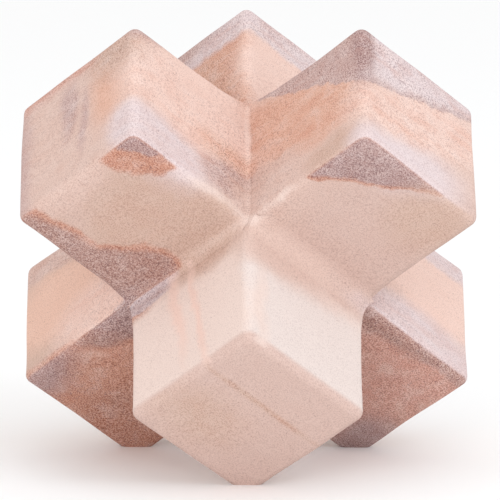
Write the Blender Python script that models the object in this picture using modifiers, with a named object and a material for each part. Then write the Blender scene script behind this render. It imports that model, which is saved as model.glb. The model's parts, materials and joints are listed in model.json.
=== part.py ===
"""Three-stick stone burr: a puzzle cross of three square sticks that lock through each other.

Units are metres, +Z is up, and the origin is on the surface under the middle of the cross.
The sticks lie along the edges of a cube that stands on one of its corners. In the cross's own
axes the key stick lies along X, the base stick along Y and the locking stick along Z.

The puzzle opens in this order. The key stick and the locking stick slide together along the
cross's +X. The locking stick then clears the base stick and slides out along -Y. Last of all
the key stick drops out of the base stick along -Z.
"""

import math

import bmesh
import bpy
from mathutils import Matrix, Vector

# Driving dimensions
STICK_WIDTH = 0.045
STICK_LENGTH = 0.131
EDGE_RADIUS = 0.0028
EDGE_SEGMENTS = 3
FOOT_CUT = 0.0050
GAP = 0.0003
KEY_TRAVEL = 0.012
SHOULDER_DEPTH = 0.003

HALF = STICK_WIDTH / 2
REACH = STICK_LENGTH / 2
OVERCUT = 0.010

# Where the three cores share the middle cube, measured along the cross's X
SHOULDER_FACE = -HALF + SHOULDER_DEPTH
BASE_CORE_LOW = SHOULDER_FACE + KEY_TRAVEL + GAP
BASE_CORE_HIGH = HALF - KEY_TRAVEL - GAP / 2
LOCK_CORE_LOW = HALF - KEY_TRAVEL + GAP / 2

# The cross stands on three corners, one of each stick
CORNER_DROP = (REACH + 2 * HALF) / math.sqrt(3)
CENTRE_HEIGHT = CORNER_DROP - FOOT_CUT

# Colours of the three stones, linear RGB
KEY_STONE = (0.72, 0.53, 0.45)
BASE_STONE = (0.74, 0.55, 0.48)
LOCK_STONE = (0.80, 0.63, 0.56)


def clear_scene():
    for thing in list(bpy.data.objects):
        bpy.data.objects.remove(thing, do_unlink=True)


def new_collection(name):
    collection = bpy.data.collections.new(name)
    bpy.context.scene.collection.children.link(collection)
    return collection


def cross_rotation():
    """Turn the cross so that all three sticks rise or fall at the same angle."""
    tilt = 1 / math.sqrt(3)
    side = math.sqrt(0.5)
    depth = math.sqrt(1 / 6)
    key_axis = Vector((-side, -depth, tilt))
    base_axis = Vector((-side, depth, -tilt))
    lock_axis = Vector((0, -2 * depth, -tilt))
    return Matrix((key_axis, base_axis, lock_axis)).transposed()


def stone(name, colour):
    material = bpy.data.materials.new(name)
    material.use_nodes = True
    shader = material.node_tree.nodes["Principled BSDF"]
    shader.inputs["Base Color"].default_value = (*colour, 1)
    shader.inputs["Roughness"].default_value = 0.85
    shader.inputs["Metallic"].default_value = 0
    return material


def block(name, low, high, collection, parent=None):
    """A box between two corners, given in its parent's axes."""
    low = Vector(low)
    high = Vector(high)
    mesh = bpy.data.meshes.new(name)
    shape = bmesh.new()
    bmesh.ops.create_cube(shape, size=1)
    bmesh.ops.scale(shape, vec=high - low, verts=shape.verts)
    bmesh.ops.translate(shape, vec=(low + high) / 2, verts=shape.verts)
    shape.to_mesh(mesh)
    shape.free()
    thing = bpy.data.objects.new(name, mesh)
    thing.parent = parent
    collection.objects.link(thing)
    return thing


def cutter(name, low, high, parent=None):
    thing = block(name, low, high, cutters, parent)
    thing.hide_render = True
    thing.display_type = "WIRE"
    return thing


def cut(thing, tool):
    step = thing.modifiers.new(tool.name, "BOOLEAN")
    step.operation = "DIFFERENCE"
    step.solver = "EXACT"
    step.object = tool


def stick(name, axis, colour, notches):
    """A square stick along one axis of the cross, with its edges rounded and its notches cut."""
    high = [HALF, HALF, HALF]
    high[axis] = REACH
    low = [-value for value in high]
    thing = block(name, low, high, sticks, cross)
    thing.data.materials.append(stone(name + "_stone", colour))
    rounding = thing.modifiers.new("rounded_edges", "BEVEL")
    rounding.width = EDGE_RADIUS
    rounding.segments = EDGE_SEGMENTS
    rounding.limit_method = "ANGLE"
    for number, (notch_low, notch_high) in enumerate(notches, start=1):
        cut(thing, cutter(f"{name}_notch_{number}", notch_low, notch_high, cross))
    cut(thing, ground)
    return thing


clear_scene()
sticks = new_collection("stone_burr")
cutters = new_collection("cutters")

cross = bpy.data.objects.new("cross_centre", None)
cross.matrix_world = Matrix.Translation((0, 0, CENTRE_HEIGHT)) @ cross_rotation().to_4x4()
sticks.objects.link(cross)

# Everything under Z = 0 is cut away, which leaves a small flat foot on each stick's lowest corner.
ground_size = STICK_LENGTH
ground = cutter("ground", (-ground_size, -ground_size, -ground_size), (ground_size, ground_size, 0))

# A notch runs past the stick's own sides by OVERCUT, and past its neighbour by GAP.
OUT = HALF + OVERCUT
ROOT = HALF + GAP
SEAT = GAP / 2

# The key's core fills the quarter +Y, -Z of the middle cube.
stick("key_stick", 0, KEY_STONE, [
    ((SHOULDER_FACE, -OUT, -SEAT), (ROOT, OUT, OUT)),
    ((SHOULDER_FACE, -OUT, -OUT), (ROOT, SEAT, SEAT)),
])

# The base's core is an L-shaped wall across the middle of the cube, around the key's core.
stick("base_stick", 1, BASE_STONE, [
    ((BASE_CORE_HIGH, -ROOT, -OUT), (OUT, ROOT, OUT)),
    ((-OUT, -ROOT, -OUT), (BASE_CORE_LOW, ROOT, OUT)),
    ((-OUT, -SEAT, -OUT), (OUT, ROOT, SEAT)),
])

# The locking stick's core is a thinner L-shaped wall between the base's core and the key's shoulder.
stick("locking_stick", 2, LOCK_STONE, [
    ((-OUT, -OUT, -ROOT), (LOCK_CORE_LOW, OUT, ROOT)),
    ((-OUT, -SEAT, -ROOT), (OUT, OUT, SEAT)),
])
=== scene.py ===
# %% [markdown]
# # A burr puzzle in banded sandstone
#
# Three square stone sticks cross at one centre and lock through each other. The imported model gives
# their exact sizes, notches and sliding joints, but its faces are plain. This lesson cuts the same
# three sticks again with the marks of hand work on them: soft edges, coves at the roots of the
# arms, faces that aren't quite flat, and a stone whose bands run through the block in three
# dimensions.

# %% Load the fixed frame
import json
import math

import bpy
from mathutils import Matrix, Vector


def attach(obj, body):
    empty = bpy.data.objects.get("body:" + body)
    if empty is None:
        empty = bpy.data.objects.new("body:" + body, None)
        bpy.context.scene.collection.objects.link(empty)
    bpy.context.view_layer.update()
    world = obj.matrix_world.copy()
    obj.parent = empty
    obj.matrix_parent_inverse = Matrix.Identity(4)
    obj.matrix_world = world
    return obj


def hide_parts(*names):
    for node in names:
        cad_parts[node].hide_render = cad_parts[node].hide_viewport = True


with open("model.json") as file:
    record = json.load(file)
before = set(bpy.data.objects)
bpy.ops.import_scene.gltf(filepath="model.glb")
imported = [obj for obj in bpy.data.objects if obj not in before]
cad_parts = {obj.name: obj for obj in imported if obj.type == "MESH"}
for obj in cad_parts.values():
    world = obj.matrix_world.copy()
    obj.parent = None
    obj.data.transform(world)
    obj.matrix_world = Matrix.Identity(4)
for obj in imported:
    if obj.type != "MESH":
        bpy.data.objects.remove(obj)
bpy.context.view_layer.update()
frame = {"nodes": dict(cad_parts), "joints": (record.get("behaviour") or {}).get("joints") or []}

# %% [markdown]
# ## The cross's own axes
#
# Every stick lies along one of three directions at right angles, and all three rise or fall at the
# same angle, as the edges of a cube do when it stands on a corner. It would be possible to model in
# world axes and fight with slanted coordinates. It is far easier to model in the cross's own axes,
# where each stick is a plain upright or level bar, and to turn the finished stick into place. The
# frame gives the axes: the key slides along its own length, and the measured spread of each packed
# stick gives the centre, the width and the length.

# %% Measure the cross
key_slide = next(joint for joint in frame["joints"] if joint["name"] == "key_slide")
KEY_AXIS = Vector(key_slide["axis"]).normalized()
LOCK_AXIS = Vector((0, -math.sqrt(2 / 3), -math.sqrt(1 / 3)))
BASE_AXIS = LOCK_AXIS.cross(KEY_AXIS).normalized()
STICKS = ["key_stick", "base_stick", "locking_stick"]
AXES = dict(zip(STICKS, (KEY_AXIS, BASE_AXIS, LOCK_AXIS)))


def spread(stick, direction):
    """Lowest and highest reach of a packed stick along a direction."""
    reach = [direction.dot(vertex.co) for vertex in frame["nodes"][stick].data.vertices]
    return min(reach), max(reach)


CENTRE = Vector()
for stick, axis in AXES.items():
    low, high = spread(stick, axis)
    CENTRE += axis * (low + high) / 2
    REACH = (high - low) / 2
low, high = spread("key_stick", LOCK_AXIS)
HALF = (high - low) / 2
TO_WORLD = Matrix.Translation(CENTRE) @ Matrix((KEY_AXIS, BASE_AXIS, LOCK_AXIS)).transposed().to_4x4()
print(f"centre {CENTRE}, stick {2 * HALF:.4f} wide and {2 * REACH:.4f} long")

# %% [markdown]
# ## How the three cores share the middle
#
# Inside the cross there is room for one cube only, so each stick is cut down to a thinner core
# there. The key keeps one quarter of its section. The base keeps an L-shaped wall around that
# quarter, and the locking stick a thinner L-shaped wall beside it. The spare room next to the
# key's shoulder is the space that the key needs to slide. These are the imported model's own
# divisions, with a finer gap, because well-fitted stone shows only a hairline where two sticks meet.

# %% Divisions of the middle cube
KEY_TRAVEL = 0.012
SHOULDER_DEPTH = 0.003
PACKED_GAP = 0.0003
OVERCUT = 0.012
GAP = 0.00003
SEAT = 0.00005
SHOULDER = -HALF + SHOULDER_DEPTH
BASE_WALL = (SHOULDER + KEY_TRAVEL + PACKED_GAP, HALF - KEY_TRAVEL - PACKED_GAP / 2)
LOCK_WALL = HALF - KEY_TRAVEL + PACKED_GAP / 2
ROOT = HALF + GAP
OUT = HALF + OVERCUT
NOTCHES = {
    "key_stick": [
        ((SHOULDER, -OUT, -SEAT), (ROOT, OUT, OUT)),
        ((SHOULDER, -OUT, -OUT), (ROOT, SEAT, SEAT)),
    ],
    "base_stick": [
        ((BASE_WALL[1], -ROOT, -OUT), (OUT, ROOT, OUT)),
        ((-OUT, -ROOT, -OUT), (BASE_WALL[0], ROOT, OUT)),
        ((-OUT, -SEAT, -OUT), (OUT, ROOT, SEAT)),
    ],
    "locking_stick": [
        ((-OUT, -OUT, -ROOT), (LOCK_WALL, OUT, ROOT)),
        ((-OUT, -SEAT, -ROOT), (OUT, OUT, SEAT)),
    ],
}
print("cuts:", {name: len(cuts) for name, cuts in NOTCHES.items()})

# %% [markdown]
# ## Helpers for working as by hand
#
# Operators act on whatever is selected, so a lesson in operators is mostly a lesson in selecting.
# These helpers clear the selection, pick one object, start a block at its size and place, and add a
# modifier and apply it at once, so that every later step works on a plain mesh.


# %% Selecting and starting
def deselect():
    for thing in list(bpy.context.selected_objects):
        thing.select_set(False)


def pick(thing):
    deselect()
    thing.select_set(True)
    bpy.context.view_layer.objects.active = thing


def add_block(name, low, high):
    """A box between two corners, with its size in its mesh."""
    deselect()
    low, high = Vector(low), Vector(high)
    bpy.ops.mesh.primitive_cube_add(size=1, location=(low + high) / 2)
    thing = bpy.context.object
    thing.name = name
    thing.scale = high - low
    bpy.ops.object.transform_apply(location=True, rotation=True, scale=True)
    return thing


def apply_modifier(thing, kind, **settings):
    pick(thing)
    step = thing.modifiers.new(kind.lower(), kind)
    for name, value in settings.items():
        setattr(step, name, value)
    bpy.ops.object.modifier_apply(modifier=step.name)


print("objects still selected after loading:", len(bpy.context.selected_objects))

# %% [markdown]
# ## The bar
#
# A stick starts as a square bar. The bar is divided into a grid first, because a face that is to be
# uneven needs points to move. The Bevel modifier then rounds every sharp edge with the small radius
# that rubbing on abrasive stone leaves. A bevel of a few segments looks like a row of flats in a
# close view, so it has six here.

# %% Rough out a bar
EDGE_RADIUS = 0.0028
EDGE_SEGMENTS = 6
GRID_CUTS = 11


def rough_bar(name, axis):
    high = [HALF, HALF, HALF]
    high[axis] = REACH
    bar = add_block(name, [-value for value in high], high)
    bpy.ops.object.mode_set(mode="EDIT")
    bpy.ops.mesh.select_all(action="SELECT")
    bpy.ops.mesh.subdivide(number_cuts=GRID_CUTS)
    bpy.ops.object.mode_set(mode="OBJECT")
    apply_modifier(bar, "BEVEL", width=EDGE_RADIUS, segments=EDGE_SEGMENTS, limit_method="ANGLE")
    apply_modifier(bar, "SUBSURF", subdivision_type="SIMPLE", levels=1, render_levels=1)
    print(name, "roughed out with", len(bar.data.polygons), "faces")
    return bar


# %% [markdown]
# ## Coves at the roots
#
# Where two arms meet, the valley between them isn't a sharp line. It is eased with a cove, as a
# round rasp leaves it: wide under the front arms, and tight in the upright valley between them. A
# cove that is shared by two sticks would stop them from sliding, so each cove belongs to one stick
# only, the one that can carry it away: the key's front arm carries all four of its own, the base
# carries the two beside the key's back arm, and the locking stick the rest.
#
# Rings of edges are cut around the arm with the bisect operator. Each side of the arm is then
# pushed outwards with the Displace modifier, weighted by the height at which a ball rolling along
# the valley would touch it. At the ends of a valley the neighbour's rounded edge falls away, and
# the ball sinks with it, so the cove runs out softly there. In the same way the rounded edges are
# pushed out square at the roots and inside the cross. A ridge then starts sharp at the middle and
# softens outwards, and no pit is left where three arms meet.

# %% Radii and owners of the coves
WIDE_COVE = 0.0056
ROUND_COVE = 0.0036
MIDDLE_COVE = 0.0030
TIGHT_COVE = 0.0013
# For each cove: end of the stick, then the axis and side of the arm that carry it, and its radius
COVES = {
    "key_stick": [
        (1, 1, -1, TIGHT_COVE), (1, 1, 1, MIDDLE_COVE), (1, 2, -1, MIDDLE_COVE), (1, 2, 1, ROUND_COVE),
    ],
    "base_stick": [
        (-1, 0, -1, MIDDLE_COVE), (1, 0, -1, MIDDLE_COVE),
    ],
    "locking_stick": [
        (-1, 0, -1, MIDDLE_COVE), (-1, 1, -1, MIDDLE_COVE), (-1, 1, 1, MIDDLE_COVE),
        (1, 0, -1, MIDDLE_COVE), (1, 1, -1, WIDE_COVE), (1, 1, 1, MIDDLE_COVE),
    ],
}
print("coves:", {name: len(arms) for name, arms in COVES.items()})

# %% Rings of edges around an arm
COVE_STEPS = 9
SAME_PLACE = 0.000005


def cut_ring(bar, axis, along):
    """One more loop of edges around the bar, at a distance along it."""
    point = [0, 0, 0]
    normal = [0, 0, 0]
    point[axis] = along
    normal[axis] = 1
    bpy.ops.mesh.select_all(action="SELECT")
    bpy.ops.mesh.bisect(plane_co=point, plane_no=normal, threshold=SAME_PLACE)


def cut_rings(bar, axis):
    """Close rings at the root of each arm, where the cove is steepest, and wider ones further out."""
    pick(bar)
    bpy.ops.object.mode_set(mode="EDIT")
    for end in (-1, 1):
        cut_ring(bar, axis, end * HALF)
        for step in range(COVE_STEPS + 1):
            turn = math.radians(90) * step / COVE_STEPS
            cut_ring(bar, axis, end * (ROOT + WIDE_COVE * (1 - math.cos(turn))))
    bpy.ops.object.mode_set(mode="OBJECT")


print("rings on each stick:", 2 * (COVE_STEPS + 2))

# %% Heights of a cove
EDGE_RUNOUT = 0.009
LEVEL = GAP / 9


def ball_height(radius, beyond, dropped):
    """Part of its radius by which the rolling ball stands off the side of the arm."""
    sunk = (radius - dropped - beyond) / radius
    if beyond < -GAP / 2 or sunk <= 0:
        return 0
    return 1 - math.sqrt(max(1 - sunk * sunk, 0))


def square_drop(spot, axis, across):
    """Part of the edge radius by which a rounded corner is pushed out to be square."""
    other = 3 - axis - across
    dropped = HALF - abs(spot[across])
    if dropped > HALF - abs(spot[other]) + LEVEL:
        return 0
    fading = 1 - max(abs(spot[axis]) - HALF, 0) / EDGE_RUNOUT
    return dropped / EDGE_RADIUS * fading


for share in (0, 0.25, 0.5, 1):
    height = WIDE_COVE * ball_height(WIDE_COVE, share * WIDE_COVE, 0)
    print(f"wide cove {share * WIDE_COVE * 1000:.1f} mm from the root: {height * 1000:.2f} mm high")

# %% Push the coves out
DIRECTIONS = "XYZ"


def cut_coves(bar, axis, arms):
    """All rings are cut and all heights measured before any side is moved."""
    cut_rings(bar, axis)
    pushes = []

    def plan_push(across, side, distance, height):
        group = bar.vertex_groups.new(name=f"push_{len(pushes)}")
        pushes.append((group.name, DIRECTIONS[across], side * distance))
        for vertex in bar.data.vertices:
            if vertex.co[across] * side > 0 and height(vertex.co) > 0:
                group.add([vertex.index], height(vertex.co), "REPLACE")

    for end, across, side, radius in arms:
        plan_push(across, side, radius, lambda spot: ball_height(
            radius, end * spot[axis] - ROOT, HALF - side * spot[across]))
    for across in {0, 1, 2} - {axis}:
        for side in (-1, 1):
            plan_push(across, side, EDGE_RADIUS, lambda spot: square_drop(spot, axis, across))
    for group_name, direction, distance in pushes:
        apply_modifier(bar, "DISPLACE", direction=direction, strength=distance, mid_level=0,
                       vertex_group=group_name)
    bar.vertex_groups.clear()
    print(bar.name, "sides pushed out:", len(pushes))


# %% [markdown]
# ## Hand-worked faces
#
# A sawn and rubbed face is never quite flat. The Displace modifier moves the grid's points by a
# fraction of a millimetre with a broad cloud pattern. A vertex group keeps the movement away from
# the middle of the cross and from the part of the key that slides into it, because the sticks still
# have to fit there.

# %% Make the faces uneven
UNEVENNESS = 0.0011
INWARD = 0.75
CALM_LENGTH = 0.0125
FADE_LENGTH = 0.012
CLOUD_SIZE = 0.030
clouds = bpy.data.textures.new("hand_work", "CLOUDS")
clouds.noise_scale = CLOUD_SIZE
clouds.noise_depth = 1


def work_faces(bar, axis):
    group = bar.vertex_groups.new(name="worked")
    for vertex in bar.data.vertices:
        beyond = abs(vertex.co[axis]) - ROOT - CALM_LENGTH
        weight = min(max(beyond / FADE_LENGTH, 0), 1)
        group.add([vertex.index], weight, "REPLACE")
    apply_modifier(bar, "DISPLACE", texture=clouds, texture_coords="LOCAL", strength=UNEVENNESS,
                   mid_level=INWARD, vertex_group="worked")
    bar.vertex_groups.clear()


print(f"faces uneven over {UNEVENNESS * 1000:.1f} mm, in lumps {CLOUD_SIZE * 1000:.0f} mm wide")

# %% [markdown]
# ## Notches and feet
#
# The notches are cut with Boolean blocks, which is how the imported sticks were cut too. The stick is
# then turned into its place, and its place is applied to the mesh, so that the stone's pattern,
# which reads object coordinates, is the same region of space for all three. A last Boolean takes
# off everything below the table, which leaves the small flat foot.

# %% Cut, place and stand the sticks
DEEP = 0.1
SMOOTH_ANGLE = math.radians(32)


def cut_away(thing, low, high):
    block = add_block("cutter", low, high)
    apply_modifier(thing, "BOOLEAN", object=block, operation="DIFFERENCE", solver="EXACT")
    bpy.data.objects.remove(block, do_unlink=True)


def turn_into_place(thing):
    thing.matrix_world = TO_WORLD
    pick(thing)
    bpy.ops.object.transform_apply(location=True, rotation=True, scale=True)


pieces = {}
for axis, name in enumerate(STICKS):
    stick = rough_bar(name.replace("stick", "stone"), axis)
    cut_coves(stick, axis, COVES[name])
    work_faces(stick, axis)
    for low, high in NOTCHES[name]:
        cut_away(stick, low, high)
    turn_into_place(stick)
    cut_away(stick, (-DEEP, -DEEP, -DEEP), (DEEP, DEEP, 0))
    pick(stick)
    bpy.ops.object.shade_smooth_by_angle(angle=SMOOTH_ANGLE)
    pieces[name] = stick
    print(name, len(stick.data.polygons), "faces")

# %% [markdown]
# ## The stone
#
# The stone is a fine sandstone. Iron carried by water has stained it in soft bands and pockets of
# peach, tan, pink and grey-violet, and small dark mineral grains lie between the pale ones. A
# pattern painted on each face would break at every edge. A solid pattern is used instead: every
# colour is a region of space, and a face shows whatever it cuts through. The pattern reads object
# coordinates, turned into the cross's axes and measured in half widths of a stick, so that the
# faces of the bar lie at 1 and the ends near 2.9.


# %% Nodes and sockets
def add_node(tree, kind, **settings):
    node = tree.nodes.new(kind)
    for name, value in settings.items():
        setattr(node, name, value)
    return node


def feed(tree, value, socket):
    """Connect a socket, or set a plain value."""
    if isinstance(value, bpy.types.NodeSocket):
        tree.links.new(value, socket)
    else:
        socket.default_value = value


def cross_place(tree):
    """Object coordinates turned into the cross's axes, in half widths."""
    coordinates = add_node(tree, "ShaderNodeTexCoord")
    mapping = add_node(tree, "ShaderNodeMapping", vector_type="TEXTURE")
    mapping.inputs["Location"].default_value = TO_WORLD.translation
    mapping.inputs["Rotation"].default_value = TO_WORLD.to_euler()
    mapping.inputs["Scale"].default_value = (HALF, HALF, HALF)
    tree.links.new(coordinates.outputs["Object"], mapping.inputs["Vector"])
    return mapping.outputs["Vector"]


print(f"the ends lie {REACH / HALF:.2f} half widths from the centre")


# %% Noise
def noise(tree, place, size, detail=2.0, roughness=0.5):
    """A cloudy field whose lumps are about one size across, in half widths."""
    node = add_node(tree, "ShaderNodeTexNoise")
    feed(tree, place, node.inputs["Vector"])
    node.inputs["Scale"].default_value = 1 / size
    node.inputs["Detail"].default_value = detail
    node.inputs["Roughness"].default_value = roughness
    return node


def shift(tree, place, size, amount):
    """Move a place by a cloudy amount, so that straight borders wander."""
    field = noise(tree, place, size, detail=3.0)
    step = add_node(tree, "ShaderNodeVectorMath", operation="MULTIPLY_ADD")
    feed(tree, field.outputs["Color"], step.inputs[0])
    step.inputs[1].default_value = (amount, amount, amount)
    feed(tree, place, step.inputs[2])
    centred = add_node(tree, "ShaderNodeVectorMath", operation="SUBTRACT")
    feed(tree, step.outputs[0], centred.inputs[0])
    centred.inputs[1].default_value = (amount / 2, amount / 2, amount / 2)
    return centred.outputs[0]


GRAIN_SIZE = 0.00036
GRAIN = GRAIN_SIZE / HALF
print(f"a grain is {GRAIN_SIZE * 1000:.2f} mm, which is {GRAIN:.3f} half widths")


# %% Masks and mixes
def ramp_between(tree, value, low, high):
    """0 below low, 1 above high and a smooth step between; low may be the larger one."""
    node = add_node(tree, "ShaderNodeMapRange", interpolation_type="SMOOTHSTEP")
    feed(tree, value, node.inputs["Value"])
    if low < high:
        node.inputs["From Min"].default_value = low
        node.inputs["From Max"].default_value = high
    else:
        node.inputs["From Min"].default_value = high
        node.inputs["From Max"].default_value = low
        node.inputs["To Min"].default_value = 1
        node.inputs["To Max"].default_value = 0
    return node.outputs["Result"]


def mix_colour(tree, factor, first, second, blend="MIX"):
    node = add_node(tree, "ShaderNodeMix", data_type="RGBA", blend_type=blend)
    feed(tree, factor, node.inputs[0])
    feed(tree, first, node.inputs[6])
    feed(tree, second, node.inputs[7])
    return node.outputs[2]


def mix_value(tree, factor, first, second):
    node = add_node(tree, "ShaderNodeMix", data_type="FLOAT")
    feed(tree, factor, node.inputs[0])
    feed(tree, first, node.inputs[2])
    feed(tree, second, node.inputs[3])
    return node.outputs[0]


def multiply(tree, first, second):
    node = add_node(tree, "ShaderNodeMath", operation="MULTIPLY")
    feed(tree, first, node.inputs[0])
    feed(tree, second, node.inputs[1])
    return node.outputs[0]


def glaze(tree, colour, mask, amount, tint, blend="MIX"):
    """Lay a tint over the colour where the mask lets it."""
    return mix_colour(tree, multiply(tree, mask, amount), colour, (*tint, 1), blend)


print("tools for colour:", ramp_between.__name__, mix_colour.__name__, glaze.__name__)

# %% [markdown]
# ## Stains
#
# Three shapes are enough to place a stain. A pocket is an ellipsoid, for a soft cloud of colour. A
# layer is everything beyond a plane, for the grey-violet bed that caps the upper arms. A skin keeps
# either of them to the outermost millimetre of one face, for the crusts that end at a rounded edge,
# where rubbing has worn them off. Two helpers go with them: both keeps what two shapes share, and
# steady stops a border from wandering. Each is a function that builds its mask as nodes when the
# stone is put together.

# %% Shapes of a stain
SKIN = 0.055
SKIN_SOFTNESS = 0.35
FAR = 1000
END = REACH / HALF
UNDER = (2, 1)
LEFT = (0, 1)
RIGHT = (1, -1)
FOOT_END = (2, END - 0.02)


def pocket(middle, radii, softness, turn=(0, 0, 0)):
    """An ellipsoid, turned by degrees about each axis."""
    def build(tree, wander, still):
        mapping = add_node(tree, "ShaderNodeMapping", vector_type="TEXTURE")
        feed(tree, wander, mapping.inputs["Vector"])
        mapping.inputs["Location"].default_value = middle
        mapping.inputs["Rotation"].default_value = [math.radians(angle) for angle in turn]
        mapping.inputs["Scale"].default_value = radii
        reach = add_node(tree, "ShaderNodeVectorMath", operation="LENGTH")
        feed(tree, mapping.outputs[0], reach.inputs[0])
        return ramp_between(tree, reach.outputs["Value"], 1 + softness, 1 - softness)
    return build


def layer(direction, edge, softness):
    """Everything further than an edge in one direction."""
    def build(tree, wander, still):
        depth = add_node(tree, "ShaderNodeVectorMath", operation="DOT_PRODUCT")
        feed(tree, wander, depth.inputs[0])
        depth.inputs[1].default_value = direction
        return ramp_between(tree, depth.outputs["Value"], edge - softness, edge + softness)
    return build


def skin(face, shape):
    """A shape kept to the surface of one face."""
    axis, level = face
    middle = [0, 0, 0]
    radii = [FAR, FAR, FAR]
    middle[axis] = level
    radii[axis] = SKIN
    slab = pocket(middle, radii, SKIN_SOFTNESS)

    def build(tree, wander, still):
        return multiply(tree, slab(tree, still, still), shape(tree, wander, still))
    return build


def steady(shape):
    """A stain whose border doesn't wander."""
    def build(tree, wander, still):
        return shape(tree, still, still)
    return build


def both(first, second):
    """What two shapes share."""
    def build(tree, wander, still):
        return multiply(tree, first(tree, wander, still), second(tree, wander, still))
    return build


print(f"a skin is {SKIN * HALF * 1000:.1f} mm deep")

# %% [markdown]
# ## Where the stains lie
#
# Each entry is a shape, a colour and how strongly the dark grains show in it. A place is given along
# the key, the base and the locking stick, in that order. Later entries cover earlier ones. Broad soft
# pockets come first and give each arm its own ground. The beds and crusts follow, each crust over a
# slightly larger and redder copy of itself, because iron gathers at the front of a stain. The sides
# that face away follow the same habits: a grey-violet bed across the top, warm flanks and dark
# crusts underneath.

# %% The colours
CREAM = (0.76, 0.61, 0.55)
SHELL = (0.73, 0.625, 0.585)
ROSE = (0.62, 0.446, 0.39)
SAND = (0.59, 0.41, 0.335)
TAN = (0.66, 0.475, 0.41)
PEACH = (0.78, 0.56, 0.485)
APRICOT = (0.74, 0.485, 0.385)
OCHRE = (0.68, 0.405, 0.305)
LILAC = (0.70, 0.58, 0.58)
HAZE = (0.58, 0.48, 0.49)
MAUVE = (0.55, 0.39, 0.36)
PLUM = (0.43, 0.285, 0.27)
RUST = (0.57, 0.29, 0.205)
BRICK = (0.62, 0.35, 0.285)
UMBER = (0.45, 0.275, 0.235)
CHESTNUT = (0.48, 0.235, 0.165)
print("colours run from cream", CREAM, "to chestnut", CHESTNUT)

# %% Grounds of the arms
GROUNDS = [
    (layer((0.00, 0.00, 1.00), 1.12, 0.08), CREAM, 0.26),
    (both(layer((0.00, -1.00, 0.00), 0.90, 0.08), layer((0.00, 0.00, 1.00), 1.42, 0.22)), SHELL, 0.26),
    # Tan on the right-hand faces up to just past the root of the front arm: partly the stone's tone,
    # partly painted shade in the cove there
    (both(layer((0.00, -1.00, 0.00), 0.96, 0.05), layer((0.18, 0.00, -1.00), -1.32, 0.24)), TAN, 0.36),
    # The end of the front arm and the undersides of the two upper arms face downwards; their darker rose
    # and sand are partly the stone's tone and partly painted shade
    (steady(layer((0.00, 0.00, 1.00), 2.80, 0.05)), ROSE, 0.34),
    (pocket((1.60, -0.30, 1.05), (1.20, 0.85, 0.35), 0.40), SAND, 0.42),
    (pocket((-0.60, -2.20, 1.05), (1.40, 1.60, 0.35), 0.30), ROSE, 0.38),
    (both(pocket((-2.00, 0.00, 1.20), (1.80, 1.70, 0.35), 0.20), layer((-1.00, 0.00, 0.00), 1.00, 0.04)),
     BRICK, 0.90),
    (pocket((0.00, 2.20, 1.20), (1.70, 1.80, 0.35), 0.20), RUST, 0.95),
    (pocket((-0.60, 2.50, 1.00), (0.90, 0.70, 0.35), 0.40), CHESTNUT, 1.00),
]
print("grounds:", len(GROUNDS))

# %% The key's front arm
KEY_ARM = [
    # End
    (pocket((END, 0.10, 0.00), (0.50, 1.30, 1.30), 0.15), TAN, 0.42),
    (pocket((END, -0.62, -0.15), (0.50, 0.30, 0.55), 0.60), OCHRE, 0.40),
    (pocket((END, 0.10, -0.25), (0.50, 0.13, 0.40), 0.70), MAUVE, 0.75),
    (pocket((END, -0.17, 0.15), (0.50, 0.07, 0.40), 0.90), MAUVE, 0.55),
    (pocket((END, -0.85, 0.60), (0.30, 0.28, 0.35), 0.60), LILAC, 0.40),
    (pocket((END, 1.00, 0.10), (0.40, 0.24, 1.20), 0.60), MAUVE, 0.50),
    (pocket((END, 0.10, -1.05), (0.40, 1.40, 0.24), 0.60), BRICK, 0.80),
    # Inner side
    (pocket((1.95, -1.00, -0.15), (1.30, 0.50, 0.70), 0.35, (0, 10, 0)), PEACH, 0.50),
    (pocket((1.25, -1.00, 0.22), (0.50, 0.50, 0.22), 0.60, (0, 10, 0)), APRICOT, 0.75),
    (pocket((2.50, -1.00, 0.75), (0.90, 0.40, 0.42), 0.40), LILAC, 0.50),
    (pocket((1.15, -1.00, 0.58), (0.55, 0.35, 0.28), 0.50), MAUVE, 0.90),
    (pocket((1.60, -1.00, -1.00), (0.90, 0.40, 0.42), 0.50), PEACH, 0.35),
    (pocket((2.75, -1.00, -1.05), (0.45, 0.30, 0.14), 0.60), MAUVE, 0.70),
    # Upper corner
    (pocket((END, -0.66, -0.72), (0.25, 0.36, 0.34), 0.80), SAND, 0.75),
    (pocket((END, -1.00, -1.00), (0.35, 0.24, 0.20), 0.60), MAUVE, 0.90),
]
print("stains on the key's front arm:", len(KEY_ARM))

# %% The base's front arm
BED = (0.31, -0.46, -0.83)
BASE_ARM = [
    (both(pocket((1.00, -1.90, -0.15), (0.50, 1.30, 0.55), 0.40, (-20, 0, 0)),
          layer((0.00, -1.00, 0.00), 1.06, 0.05)), OCHRE, 0.60),
    (pocket((1.00, -1.30, 0.70), (0.40, 0.60, 0.36), 0.45), TAN, 0.50),
    (pocket((1.00, -2.50, 0.75), (0.40, 0.50, 0.25), 0.45), SAND, 0.45),
    (pocket((0.00, -END, 0.00), (1.40, 0.50, 0.50), 0.40, (0, -20, 0)), PEACH, 0.60),
    (pocket((0.40, -END, 0.95), (1.10, 0.40, 0.40), 0.45, (0, -15, 0)), LILAC, 0.40),
    (both(layer(BED, 1.66, 0.02), layer((0.00, -1.00, 0.00), 1.14, 0.08)), MAUVE, 0.90),
    (both(layer(BED, 1.72, 0.10), layer((0.00, -1.00, 0.00), 2.80, 0.08)), LILAC, 0.85),
    (pocket((1.00, -END, -0.55), (0.20, 0.20, 0.55), 0.50), PLUM, 1.00),
]
print("stains on the base's front arm:", len(BASE_ARM))

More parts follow.
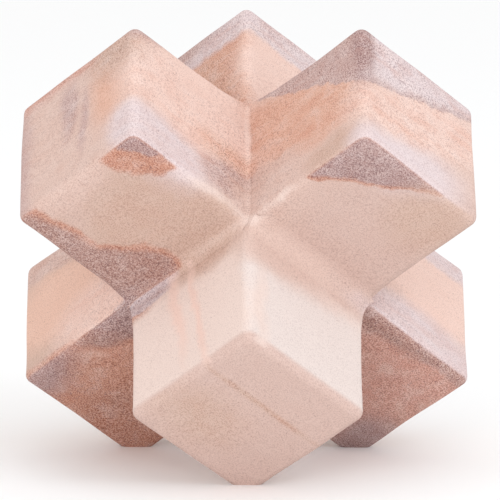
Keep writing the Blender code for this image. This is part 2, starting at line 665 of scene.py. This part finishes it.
# %% The back arms
BACK_ARMS = [
    # Back arm of the locking stick
    (pocket((1.00, 0.00, -1.80), (0.50, 1.40, 1.20), 0.20), OCHRE, 0.80),
    (pocket((0.00, -1.00, -1.80), (1.10, 0.50, 1.20), 0.20), PEACH, 0.40),
    (pocket((0.00, 0.00, -3.40), (2.60, 2.60, 1.10), 0.06), LILAC, 0.80),
    (pocket((1.00, 0.50, -2.85), (0.40, 0.90, 0.30), 0.50), MAUVE, 0.90),
    # Back arm of the base
    (pocket((1.00, 2.25, 0.05), (0.50, 1.10, 0.60), 0.40), APRICOT, 0.35),
    (pocket((1.00, 1.50, 0.65), (0.50, 0.75, 0.50), 0.45), PEACH, 0.50),
    (pocket((1.00, 2.20, -1.05), (0.60, 1.50, 0.50), 0.12), ROSE, 0.60),
    # Back arm of the key
    (pocket((-2.40, -1.00, -0.20), (1.30, 0.50, 0.70), 0.40), PEACH, 0.35),
    (pocket((-2.00, -1.00, 0.80), (1.30, 0.16, 0.45), 0.40), LILAC, 0.55),
    (pocket((-2.40, -1.00, -1.10), (1.40, 0.50, 0.42), 0.15), LILAC, 0.55),
]
print("stains on the back arms:", len(BACK_ARMS))

# %% The front arm of the locking stick
FRONT_ARM = [
    # Valley on its left, and fine pink lines below
    (pocket((1.08, 0.78, 1.04), (0.32, 0.58, 0.25), 0.14), HAZE, 0.80),
    (skin(LEFT, pocket((1.00, -0.14, 2.00), (0.50, 0.06, 0.95), 0.90, (8, 0, 0))), PEACH, 0.20),
    (skin(LEFT, pocket((1.00, 0.22, 1.70), (0.50, 0.08, 0.70), 0.90, (8, 0, 0))), PEACH, 0.20),
    (skin(RIGHT, pocket((0.80, -1.00, 2.30), (0.10, 0.50, 0.60), 0.90)), CREAM, 0.20),
    # Paler worn stone and a painted highlight on the rounded edges that meet in the middle
    (pocket((1.25, -1.00, 1.00), (0.65, 0.07, 0.07), 0.90), CREAM, 0.20),
    (pocket((1.00, -1.35, 1.00), (0.07, 0.75, 0.07), 0.90), CREAM, 0.20),
    # Painted shade in the cove on the right face of the front arm, over a little tan in the stone
    (pocket((0.35, -1.00, 1.25), (0.80, 0.30, 0.34), 0.70), TAN, 0.30),
    # Warm ground and one bedding line on the end of the front arm
    (skin(FOOT_END, pocket((0.45, 0.40, END), (0.50, 0.36, 1.00), 0.90)), SAND, 0.45),
    (steady(skin(FOOT_END, pocket((0.10, -0.26, END), (0.90, 0.035, 1.00), 0.90))), SAND, 0.60),
]
print("stains on the front arm:", len(FRONT_ARM))

# %% Crusts underneath
CRUSTS = [
    # Under the key's front arm
    (skin(UNDER, pocket((2.95, -1.00, 1.00), (0.82, 0.59, 1.00), 0.06)), RUST, 0.80),
    (skin(UNDER, pocket((3.05, -1.10, 1.00), (0.72, 0.26, 1.00), 0.50)), PLUM, 0.90),
    (skin(UNDER, pocket((2.00, 1.35, 1.00), (1.37, 0.82, 1.00), 0.05)), RUST, 0.80),
    (skin(UNDER, pocket((1.25, 1.10, 1.00), (0.80, 1.03, 1.00), 0.05)), RUST, 0.80),
    (skin(UNDER, pocket((2.00, 1.35, 1.00), (1.30, 0.72, 1.00), 0.12)), UMBER, 1.00),
    (skin(UNDER, pocket((1.25, 1.10, 1.00), (0.74, 0.95, 1.00), 0.08)), UMBER, 1.00),
    # Under the base's front arm
    (skin(UNDER, layer((0.59, -0.81, 0.00), 2.15, 0.03)), RUST, 0.90),
    (skin(UNDER, layer((0.59, -0.81, 0.00), 2.19, 0.04)), PLUM, 0.90),
    (skin(UNDER, pocket((-0.60, -2.55, 1.00), (0.55, 0.50, 1.00), 0.65)), SAND, 0.40),
    # Under the back arms
    (skin(UNDER, pocket((0.95, 1.25, 1.00), (0.32, 0.42, 1.00), 0.50)), PLUM, 1.10),
    (skin(UNDER, pocket((0.95, 2.65, 1.00), (0.42, 0.60, 1.00), 0.50)), PLUM, 0.90),
    (skin(UNDER, pocket((-1.50, -0.86, 1.00), (0.60, 0.14, 1.00), 0.60)), UMBER, 1.10),
    (skin(UNDER, pocket((-2.30, -0.95, 1.00), (0.90, 0.12, 1.00), 0.50)), UMBER, 1.10),
    (skin(UNDER, pocket((-2.75, 0.70, 1.00), (0.42, 0.50, 1.00), 0.50)), PLUM, 0.90),
]
STAINS = GROUNDS + KEY_ARM + BASE_ARM + BACK_ARMS + FRONT_ARM + CRUSTS
print("crusts:", len(CRUSTS), "of", len(STAINS), "stains")

# %% [markdown]
# ## Putting the stone together
#
# The ground colour drifts between rose and sand. The stains are laid over it on a place that has
# been shifted three times, broadly, finely and by a grain's width, so that their borders wander and
# fray as real stain fronts do. Fine streaks follow the bedding. Last come the grains: a noise at the
# size of a sand grain darkens some and lightens others, and each stain says how strongly. One
# material serves all three sticks, as one block of stone would.

# %% Ground and stains
WANDER_STEPS = [(0.80, 0.36), (0.15, 0.10), (0.03, 0.05)]
DRIFT_SIZE = 0.9
GROUND_GRAINS = 0.35
stone = bpy.data.materials.new("banded_sandstone")
stone.use_nodes = True
tree = stone.node_tree
still = cross_place(tree)
wander = still
for size, amount in WANDER_STEPS:
    wander = shift(tree, wander, size, amount)

drift = noise(tree, still, DRIFT_SIZE, detail=3.0).outputs["Fac"]
colour = mix_colour(tree, ramp_between(tree, drift, 0.38, 0.62), (*ROSE, 1), (*SAND, 1))
grains = GROUND_GRAINS
for shape, stain, strength in STAINS:
    inside = shape(tree, wander, still)
    colour = mix_colour(tree, inside, colour, (*stain, 1))
    grains = mix_value(tree, inside, grains, strength)
print("nodes up to the stains:", len(tree.nodes))

# %% Bedding lines and mottle
BEDDING_TURN = (math.radians(26), math.radians(8), 0)
WARM_LINE = (0.92, 0.74, 0.66)
PALE_LINE = (0.76, 0.65, 0.62)
DEEPER = (0.88, 0.76, 0.72)
FRESHER = (0.82, 0.70, 0.67)
MOTTLE_SIZE = 0.22


def streaks(tree, place, size, stretch):
    """Thin bedding lines, drawn out along the beds."""
    mapping = add_node(tree, "ShaderNodeMapping", vector_type="POINT")
    feed(tree, place, mapping.inputs["Vector"])
    mapping.inputs["Rotation"].default_value = BEDDING_TURN
    mapping.inputs["Scale"].default_value = (1, 1, stretch)
    return noise(tree, mapping.outputs[0], size, detail=6.0, roughness=0.68).outputs["Fac"]


# Clean pale stone shows hardly any bedding, so the streaks fade with the grains
marked = ramp_between(tree, grains, 0.25, 0.70)
warm = ramp_between(tree, streaks(tree, wander, 1.4, 9), 0.42, 0.68)
colour = glaze(tree, colour, multiply(tree, warm, marked), 0.50, WARM_LINE, "MULTIPLY")
pale = ramp_between(tree, streaks(tree, wander, 1.1, 7), 0.50, 0.30)
colour = glaze(tree, colour, multiply(tree, pale, marked), 0.14, PALE_LINE)

mottle = noise(tree, wander, MOTTLE_SIZE, detail=5.0, roughness=0.6).outputs["Fac"]
deeper = multiply(tree, ramp_between(tree, mottle, 0.46, 0.66), marked)
colour = glaze(tree, colour, deeper, 0.45, DEEPER, "MULTIPLY")
fresher = multiply(tree, ramp_between(tree, mottle, 0.50, 0.34), marked)
colour = glaze(tree, colour, fresher, 0.16, FRESHER)
print("nodes up to the bedding:", len(tree.nodes))

# %% Grains
DARK_GRAIN = (0.42, 0.34, 0.36)
LIGHT_GRAIN = (0.82, 0.70, 0.66)
SPECK = (0.20, 0.11, 0.11)
CLUMP = 12 * GRAIN
SPECK_SIZE = 1.5 * GRAIN
fine = noise(tree, still, GRAIN, detail=2.0, roughness=0.6).outputs["Fac"]
dark = multiply(tree, ramp_between(tree, fine, 0.48, 0.64), grains)
colour = glaze(tree, colour, dark, 0.85, DARK_GRAIN, "MULTIPLY")
light = multiply(tree, ramp_between(tree, fine, 0.50, 0.34), grains)
colour = glaze(tree, colour, light, 0.32, LIGHT_GRAIN)
clumps = noise(tree, still, CLUMP, detail=3.0, roughness=0.65).outputs["Fac"]
specks = noise(tree, still, SPECK_SIZE).outputs["Fac"]
specks = multiply(tree, ramp_between(tree, specks, 0.64, 0.70), ramp_between(tree, clumps, 0.38, 0.58))
colour = mix_colour(tree, multiply(tree, specks, grains), colour, (*SPECK, 1))
print("nodes up to the grains:", len(tree.nodes))

# %% Surface
shader = tree.nodes["Principled BSDF"]
feed(tree, colour, shader.inputs["Base Color"])
shader.inputs["Roughness"].default_value = 0.88
shader.inputs["Specular IOR Level"].default_value = 0.25

bump = add_node(tree, "ShaderNodeBump")
bump.inputs["Strength"].default_value = 0.4
bump.inputs["Distance"].default_value = GRAIN_SIZE / 2
feed(tree, fine, bump.inputs["Height"])
feed(tree, bump.outputs["Normal"], shader.inputs["Normal"])
print("nodes in the whole stone:", len(tree.nodes))

# %% Give the stone to the sticks
for name, stick in pieces.items():
    stick.data.materials.clear()
    stick.data.materials.append(stone)
    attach(stick, name)
    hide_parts(name)
    print(stick.name, "rides on", name)

# %% [markdown]
# ## Table and light
#
# Pale stone on a pale ground needs a calm, bright room: the world itself is white, and lights every
# side almost evenly. Two soft boxes shape it. The one at the upper right is a little cool, so that
# the right-hand faces turn whiter, and a white one at the front left opens the shadows under the
# arms. A single hard light would throw the arms' shadows across each other and hide the bands. The
# Standard view transform keeps the pale tones as bright as set.

# %% Table
TABLE_SIZE = 6
PAPER = (0.94, 0.94, 0.94)
deselect()
bpy.ops.mesh.primitive_plane_add(size=TABLE_SIZE, location=(0, 0, 0))
table = bpy.context.object
table.name = "table"
paper = bpy.data.materials.new("white_table")
paper.use_nodes = True
paper_shader = paper.node_tree.nodes["Principled BSDF"]
paper_shader.inputs["Base Color"].default_value = (*PAPER, 1)
paper_shader.inputs["Roughness"].default_value = 0.9
table.data.materials.append(paper)
print("table", TABLE_SIZE, "m across")

# %% Light
WHITE = (1.0, 1.0, 1.0)
COOL = (0.84, 0.94, 1.0)
scene = bpy.context.scene
scene.view_settings.view_transform = "Standard"
world = bpy.data.worlds.new("studio")
scene.world = world
world.use_nodes = True
background = world.node_tree.nodes["Background"]
background.inputs["Color"].default_value = (*WHITE, 1)
background.inputs["Strength"].default_value = 1.0


def soft_box(name, place, size, power, colour):
    light = bpy.data.lights.new(name, "AREA")
    light.energy = power
    light.size = size
    light.color = colour
    lamp = bpy.data.objects.new(name, light)
    scene.collection.objects.link(lamp)
    lamp.location = place
    lamp.rotation_euler = (CENTRE - Vector(place)).to_track_quat("-Z", "Y").to_euler()
    print(name, power, "W over", size, "m")


soft_box("key_light", (0.75, -0.65, 0.75), 0.6, 3.4, COOL)
soft_box("front_fill", (-0.35, -1.15, 0.40), 0.5, 3.4, WHITE)

# %% [markdown]
# ## Camera
#
# The star is seen from the front, a little above its middle, so that the front arm points at the
# viewer and down, and the undersides of the two upper arms show. A long lens from over a metre away
# keeps the arms' edges nearly parallel. A very small turn, roll and sideways aim set the star as it
# would stand when it is put down by hand in front of the camera.

# %% Camera
DISTANCE = 1.35
ELEVATION = math.radians(8.86)
TURN = math.radians(-0.58)
ROLL = math.radians(0.27)
LENS = 355
AIM = Vector((0.0009, -0.00096, 0))
back = Vector((math.sin(TURN) * math.cos(ELEVATION), -math.cos(TURN) * math.cos(ELEVATION),
               math.sin(ELEVATION)))
lens = bpy.data.cameras.new("camera")
lens.lens = LENS
lens.clip_start = 0.05
lens.clip_end = 20
camera = bpy.data.objects.new("camera", lens)
scene.collection.objects.link(camera)
facing = (-back).to_track_quat("-Z", "Y") @ Matrix.Rotation(ROLL, 4, "Z").to_quaternion()
camera.location = CENTRE + facing @ AIM + back * DISTANCE
camera.rotation_euler = facing.to_euler()
scene.camera = camera
print("camera at", [round(value, 3) for value in camera.location])
